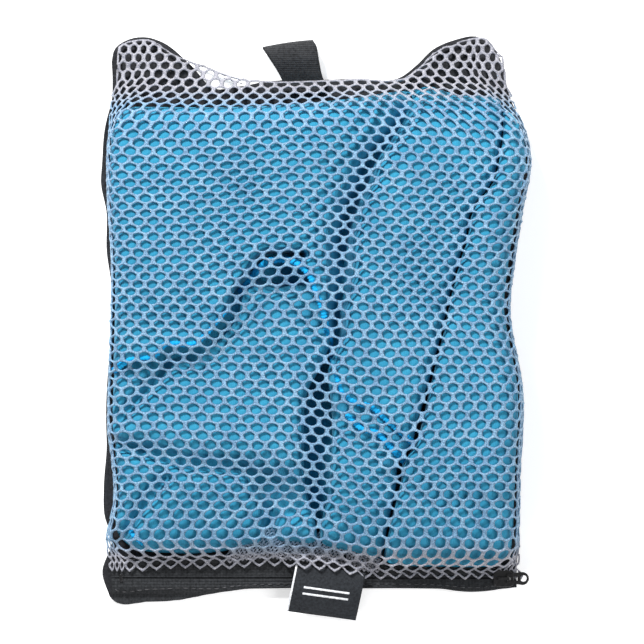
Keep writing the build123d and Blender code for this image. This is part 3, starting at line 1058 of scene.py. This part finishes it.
def mesh_solid(points):
    """Threads about the honeycomb: a ridge along each, falling to the rim of the hole on either side."""
    rows, count = points.shape[:2]
    normal = np.cross(np.gradient(points, axis=1), np.gradient(points, axis=0))
    for _ in range(2):
        normal[1:-1, 1:-1] += neighbours(normal) / 2
    nodes = np.arange(rows * count).reshape(rows, count)
    slants = rows * count + np.arange(rows * (count - 1)).reshape(rows, count - 1)
    walls = slants.max() + 1 + np.arange((rows - 1) * count).reshape(rows - 1, count)
    base, base_normal = with_middles(points), unit(with_middles(normal))

    # the twelve places round a cell: the middles of its slants and walls, and its six nodes
    around = ((nodes, 0, 0), (slants, 0, 0), (nodes, 0, 1), (slants, 0, 1), (nodes, 0, 2), (walls, 0, 2),
              (nodes, 1, 2), (slants, 1, 1), (nodes, 1, 1), (slants, 1, 0), (nodes, 1, 0), (walls, 0, 0))
    cells = np.array([
        [kind[j + down, i + over] for kind, down, over in around]
        for j in range(rows - 1) for i in range(j % 2, count - 2, 2)])
    cells = cells[np.ptp(base[cells][..., 1], axis=1) > least_cell]
    ring = base[cells]
    centre = ring.mean(axis=1, keepdims=True)
    edges = np.stack([cells, np.roll(cells, -1, axis=1)], axis=-1).reshape(-1, 2).tolist()
    seen = {tuple(edge) for edge in edges}
    border = np.array([edge for edge in edges if (edge[1], edge[0]) not in seen])
    reach = np.linalg.norm(centre - ring, axis=-1, keepdims=True)
    inward = unit(centre - ring)
    uneven = 1 + chance.normal(0, .07, (len(cells), 12, 1))
    width = np.minimum(thread_widths[:, None] * uneven, .6 * reach)
    hole = ring + inward * width
    hole = .56 * hole + .22 * (np.roll(hole, 1, axis=1) + np.roll(hole, -1, axis=1))
    crest = np.full(len(base), thread_crests.max())
    crest[cells] = thread_crests
    shoulder = ring + (hole - ring) * .55 + base_normal[cells] * thread_shoulder
    # a thread on the border is as wide as any other
    lean = np.zeros_like(base)
    np.add.at(lean, cells, inward)
    base[border[:, 0]] -= unit(lean)[border[:, 0]] * thread_shoulder
    top, bottom = base + base_normal * crest[:, None], base - base_normal * thread_back
    used = np.zeros(len(base), bool)
    used[cells] = True
    place = np.cumsum(used) - 1
    top, bottom, cells, border = top[used], bottom[used], place[cells], place[border]
    m = len(top)
    shoulders = 2 * m + np.arange(cells.size).reshape(-1, 12)
    holes = shoulders + cells.size
    after = np.roll(np.arange(12), -1)
    band = lambda inner, outer: np.stack(
        [inner, inner[:, after], outer[:, after], outer], axis=-1).reshape(-1, 4)
    faces = [band(cells, shoulders), band(shoulders, holes), band(holes, cells + m)]
    # close the outer border, where a thread has a cell on one side only
    faces.append(np.stack([border[:, 1], border[:, 0], border[:, 0] + m, border[:, 1] + m], axis=-1))
    vertices = np.concatenate([top, bottom, shoulder.reshape(-1, 3), hole.reshape(-1, 3)])
    return vertices, np.concatenate(faces)


front_mesh = make_piece("knitted_mesh_front", *mesh_solid(mesh_nodes()), mesh_yarn, "pouch")
# the mesh's own seam allowance, turned up behind its sewn edge beside the label
allowance_rows, allowance_columns = 11, 71
row, column = np.indices((allowance_rows, allowance_columns))
allowance_x = half * (-.42 + .72 * column / (allowance_columns - 1)) + .6 * np.sin(row * 2.1)
allowance_y = lower_edge_y(allowance_x) + 1.4 + 1.1 * row + np.where((row + column) % 2 == 0, .5, -.5)
allowance_y = allowance_y + .7 * np.sin(allowance_x / 4.7) + .12 * np.sin(allowance_x / 1.7 + row)
allowance_z = front_tape_z(allowance_y) + .6 + .15 * row + .35 * np.sin(allowance_x / 2.3 + row / 3)
allowance_solid = mesh_solid(points_of(allowance_x, allowance_y, allowance_z))
allowance_mesh = make_piece("knitted_mesh_allowance", *allowance_solid, mesh_yarn, "pouch")
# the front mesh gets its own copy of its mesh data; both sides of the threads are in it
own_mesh(front_mesh)


# ---- Back panel ------------------------------------------------------------------------------------

def coons(low, high, left, right, across, up):
    """A grid of points filling four edge curves, each a function of a share from 0 to 1."""
    along_low, along_left = shares(across, up)
    f, g = along_low[..., None], along_left[..., None]
    edges = ((1 - g) * low(along_low) + g * high(along_low)
             + (1 - f) * left(along_left) + f * right(along_left))
    corners = ((1 - f) * (1 - g) * low(np.zeros(1)) + f * (1 - g) * low(np.ones(1))
               + (1 - f) * g * high(np.zeros(1)) + f * g * high(np.ones(1)))
    return edges - corners


band_left, band_right = -.975 * half, .955 * half
band_foot = outline_points([(-.985, -.068), (-.96, -.078), (-.8, -.0785), (-.65, -.0745), (-.5, -.061),
                            (-.36, -.052), (-.2, -.0492), (.2, -.0492), (.45, -.0492), (.6, -.051),
                            (.74, -.0565), (.86, -.052), (.945, -.047)])
panel_head = outline_points([(-.975, 1.04), (-.96, 1.068), (-.89, 1.088), (-.81, 1.092), (-.74, 1.083),
                             (-.6, 1.035), (-.48, .985), (-.36, .99), (-.24, 1.0), (0, 1.003), (.2, 1.006),
                             (.4, 1.008), (.48, 1.034), (.56, 1.067), (.66, 1.086), (.77, 1.093),
                             (.85, 1.068), (.888, 1.035)])
panel_left = outline_points([(-.985, -.068), (-1.02, -.02), (-.975, .05), (-1.01, .1), (-1.013, .16),
                             (-1.0, .24), (-1.003, .3), (-.985, .46), (-.975, .57), (-1.0, .65),
                             (-1.0, .73), (-1.027, .79), (-1.022, .83), (-1.008, .9), (-.975, .96),
                             (-.972, 1.0), (-.975, 1.04)])
panel_right = outline_points([(.945, -.047), (.965, .03), (.975, .2), (.983, .38), (.948, .46), (.926, .52),
                              (.946, .63), (.982, .73), (1.018, .85), (.985, .91), (.94, .95), (.905, 1.0),
                              (.888, 1.035)])
panel_xy = coons(lambda f: band_foot(f) + [0, .6], panel_head, panel_left, panel_right, 90, 120)
panel_share, _ = shares(90, 120)
rise = ease(1 - np.minimum(panel_share, 1 - panel_share) / .05)
panel_z = floor_z + .35 + rise * (.55 + .5 * np.sin(panel_xy[..., 1] / 5.5))
panel_points = points_of(panel_xy[..., 0], panel_xy[..., 1], panel_z)
panel = cloth_grid("back_cloth", panel_points, .6, back_cloth, "pouch")


# ---- Zip band --------------------------------------------------------------------------------------

groove = .22                            # from the zip's middle to each tape
tape_rib = 1.25
tape_thick = .55


def back_fall(beyond):
    """How far the back tape has turned down, by the distance past its level part."""
    return (tape_z - 1.2) * ease(beyond / 4.5)


def tape_grid(y_near, y_far):
    """A zip tape: level beside the groove, with fine ribs along it, and turned down or up past the slider."""
    f, g = shares(150, 26)
    x = band_left + (band_right - band_left) * f
    y = y_near(x) + (y_far(x) - y_near(x)) * g
    beyond = np.maximum(np.abs(y - zip_middle) - slider_clear, 0)
    z = tape_z + .1 * np.sin(x / 9) + .12 * np.sin((y - zip_middle) * 2 * math.pi / tape_rib)
    return points_of(x, y, z + np.where(y < zip_middle, -back_fall(beyond), tape_climb * beyond))


foot_line = band_foot(np.linspace(0, 1, 300))
foot_y = lambda x: np.interp(x, foot_line[:, 0], foot_line[:, 1])
back_tape = cloth_grid(
    "zip_tape_back_cloth", tape_grid(foot_y, lambda x: zip_middle - groove), tape_thick, tape_cloth, "pouch")
front_tape = cloth_grid(
    "zip_tape_front_cloth", tape_grid(lambda x: zip_middle + groove, lambda x: lower_edge_y(x) + 3.6),
    tape_thick, tape_cloth, "pouch")


stitch_length, stitch_pitch, stitch_radius = 2.0, 3.1, .2
stitch_swell = np.array([.35, .8, 1, 1, .8, .35]) * stitch_radius
stitch_rise = np.array([-.25, .05, .15, .15, .05, -.25])
stitch_sides = 6


def stitches(name, path, material):
    """A row of lockstitches lying along a path of points."""
    run = lengths_along(path)
    turn = np.arange(stitch_sides)[:, None] * 2 * math.pi / stitch_sides
    vertices, faces = [], []
    for start in np.arange(.6, run[-1] - stitch_length, stitch_pitch):
        line = path_at(path, run, start + np.linspace(0, stitch_length, len(stitch_swell)))
        ahead = unit(line[-1] - line[0])
        side = unit(np.cross(ahead, [0, 0, 1.0]))
        up = np.cross(side, ahead)
        first = len(vertices)
        for point, size, lift in zip(line, stitch_swell, stitch_rise):
            vertices.extend(point + up * lift + size * (side * np.cos(turn) + up * np.sin(turn)))
        faces.extend(tube_faces(first, len(line), stitch_sides))
    return make_piece(name, vertices, faces, material, "pouch")


stitch_x = np.linspace(band_left + 1, band_right - 1, 200)
back_line = foot_y(stitch_x) + 1.6 + 3.6 * ease((-.45 * half - stitch_x) / 20)
back_line_z = tape_z + .45 - back_fall(np.maximum(zip_middle - back_line - slider_clear, 0))
back_stitches = stitches("zip_stitches_back", points_of(stitch_x, back_line, back_line_z), grey_thread)
front_line = lower_edge_y(stitch_x) + 2.4
front_line_z = tape_z + .6 + tape_climb * np.maximum(front_line + .3 - slider_high[1], 0)
front_stitches = stitches("zip_stitches_front", points_of(stitch_x, front_line, front_line_z), grey_thread)
side_y = np.linspace(zip_edge + 4, seam_top - 2, 120)
left_stitches = stitches(
    "seam_stitches_left", points_of(mesh_left(side_y) + 1.3, side_y, seam_z + .3), dark_thread)
right_stitches = stitches(
    "seam_stitches_right", points_of(mesh_right(side_y) - 2.8, side_y, seam_z + .3), dark_thread)
top_x, top_y = mesh_top_edge(np.linspace(.3, .72, 80)).T
keep = (top_x < loop_root_low[0] - 2) | (top_x > loop_root_high[0] + 2)
top_stitches = stitches(
    "seam_stitches_top", points_of(top_x[keep], top_y[keep] - 1.4, seam_z + .5), dark_thread)


# ---- Hang loop -------------------------------------------------------------------------------------

def hang_loop_points():
    """A flat tape from the seam out to the fold and back, leaning to the left."""
    eye_y = loop_high[1] - 4.2
    eye_z = (loop_low[2] + loop_high[2]) / 2
    root_y = loop_root_low[1] + .4
    lower = [(root_y, loop_root_low[2] + .35), (seam_top, 1.7), (seam_top + 5, 1.3), (eye_y - 1, 1.2)]
    turn = np.linspace(-math.pi / 2, math.pi / 2, 9)[1:-1]
    fold = [(eye_y + 3.2 * math.cos(t), eye_z + 3.5 * math.sin(t) - .2) for t in turn]
    upper = [(eye_y - 2, eye_z + 3.3), (seam_top + 4, 5.4), (seam_top, 3.2), (root_y, loop_root_high[2] + .2)]
    line = np.array(lower + fold + upper)
    run = lengths_along(line)
    t, f = shares(70, 22, first=(0, run[-1]))
    y, z = (smooth_curve(np.stack([run, line[:, k]], axis=1))(t) for k in (0, 1))
    out = np.clip((y - seam_top) / (loop_high[1] - seam_top), 0, 1)
    left_x = loop_root_low[0] - 8.6 * out**1.15
    right_x = loop_root_high[0] - 3.6 * out**.6 - 1.6 * ease((out - .75) / .25)
    x = left_x + (right_x - left_x) * f
    y = y - 2.6 * out * (1 - f) ** 1.5 + .5 * out * f
    z = z + out * .5 * np.sin(f * 5) - .5 * hump(f - .45, .16) * (1 - out)
    return points_of(x, y, z)


hang_loop = cloth_grid("hang_loop_webbing", hang_loop_points(), .7, webbing, "hang_loop")
hang_loop.parent = None


# ---- Label -----------------------------------------------------------------------------------------

label_turn = math.radians(-8.1)
label_span, label_drop = label_high[0] - label_low[0], 20.0


def on_label(f, g, above):
    """A place on the label: f along its width, g from its top to its lower edge, and above its face."""
    width_way = np.array([math.cos(label_turn), math.sin(label_turn)])
    down_way = np.array([-.2, -.98])
    start = np.array([label_low[0] + 1.2, label_high[1] + 2.1])
    flat = start + label_span * f[..., None] * width_way + label_drop * g[..., None] * down_way
    sink = np.clip((zip_middle - slider_half - flat[..., 1]) / 12, 0, 1)
    z = label_high[2] - .75 - (label_high[2] - 5.2) * sink**1.6 + .3 * np.sin(f * 4 + 1) * g
    return points_of(flat[..., 0], flat[..., 1], z + above)


def label_piece(name, f, g, above, thickness, material):
    """A layer of the label, laid on its folded shape, with no body as its parent."""
    piece = cloth_grid(name, on_label(f, g, above), thickness, material, "label")
    piece.parent = None
    return piece


# the folded leaf goes down in front and comes back up behind
f, t = shares(46, 66)
g = np.where(t < .5, t / .5, (1 - t) / .5)
leaf_above = np.where(t < .5, .28, -.28) * np.clip((1 - g) / .03, 0, 1) ** .5
label = label_piece("woven_label", f, g, leaf_above, .34, label_weave)
f, g = shares(4, 50, first=(-.006, .022), second=(.02, .985))
selvedge = label_piece("label_selvedge", f, g, .52, .2, label_light)
marks = []
for number, span in enumerate(((.43, .47), (.56, .60))):
    f, g = shares(40, 5, first=(.17, .83), second=span)
    marks.append(label_piece(f"label_band_{number + 1}", f, g, .5, .14, label_light))


# ---- Bodies, replaced solids and finishes ----------------------------------------------------------

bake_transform(hang_loop)
for piece in (label, selvedge, *marks):
    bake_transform(piece)
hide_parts("front_mesh_panel")
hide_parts("towel_folded_stack", "towel_side_fold")
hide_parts("towel_hem_edging_upper")
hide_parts("towel_hem_edging_lower")
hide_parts("back_panel")
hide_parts("zip_tape_back", "back_panel_hem")
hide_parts("zip_tape_front")
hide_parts("zip_stitching_back")
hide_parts("zip_stitching_front")
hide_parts("seam_stitching_left")
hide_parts("seam_stitching_right")
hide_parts("seam_stitching_top")
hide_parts("hang_loop_tape", "hang_loop_root")
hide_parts("label_leaf", "label_root")
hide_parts("label_woven_mark")
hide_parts("label_stitching")

finishes = {
    "slider_body": lacquer, "slider_bridge": lacquer, "pull_tab": lacquer, "zip_stop_closed_end": lacquer,
    "zip_stop_open_end": lacquer, "zip_coil_front": coil_plastic, "zip_coil_back": coil_plastic,
    "hang_loop_bartack": dark_thread,
}
for node, material in finishes.items():
    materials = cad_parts[node].data.materials
    materials.clear()
    materials.append(material)


# ---- Floor, light and camera -----------------------------------------------------------------------

bpy.context.scene.view_settings.view_transform = "Standard"
floor_size, floor_drop = 8, .0002
floor_glow = .5
world_light = .24
view_width = .2576                      # how much the picture shows, at focus_height
focus_height = .012
camera_height = 1.35
camera_x = .0024
sensor = 36

floor_material = node_material("studio_floor", (.9, .9, .91), .9)
floor_shader = floor_material.node_tree.nodes["Principled BSDF"]
floor_shader.inputs["Emission Color"].default_value = (1, 1, 1, 1)
floor_shader.inputs["Emission Strength"].default_value = floor_glow
bpy.ops.mesh.primitive_plane_add(size=floor_size, location=(0, 0, cad_low[2] - floor_drop))
floor = bpy.context.object
floor.name = "studio_floor_sheet"
floor.data.materials.append(floor_material)


def area_light(name, place, size, power):
    """A square white light that faces the origin."""
    data = bpy.data.lights.new(name, "AREA")
    data.size, data.energy = size, power
    light = bpy.data.objects.new(name, data)
    bpy.context.scene.collection.objects.link(light)
    light.location = place
    light.rotation_euler = (-Vector(place)).to_track_quat("-Z", "Y").to_euler()


area_light("key", (-.5, .92, .97), .24, 27.5)
area_light("side", (1.0, -.2, 1.3), .8, 11)
area_light("front", (-.6, -1.0, .9), .5, 3)
world = bpy.data.worlds.new("studio")
bpy.context.scene.world = world
world.use_nodes = True
background = world.node_tree.nodes["Background"]
background.inputs["Color"].default_value = (1, 1, 1, 1)
background.inputs["Strength"].default_value = world_light

camera_data = bpy.data.cameras.new("camera")
camera = bpy.data.objects.new("camera", camera_data)
bpy.context.scene.collection.objects.link(camera)
bpy.context.scene.camera = camera
camera.location = (camera_x, 0, camera_height)
camera_data.sensor_width = sensor
camera_data.lens = sensor * (camera_height - focus_height) / view_width
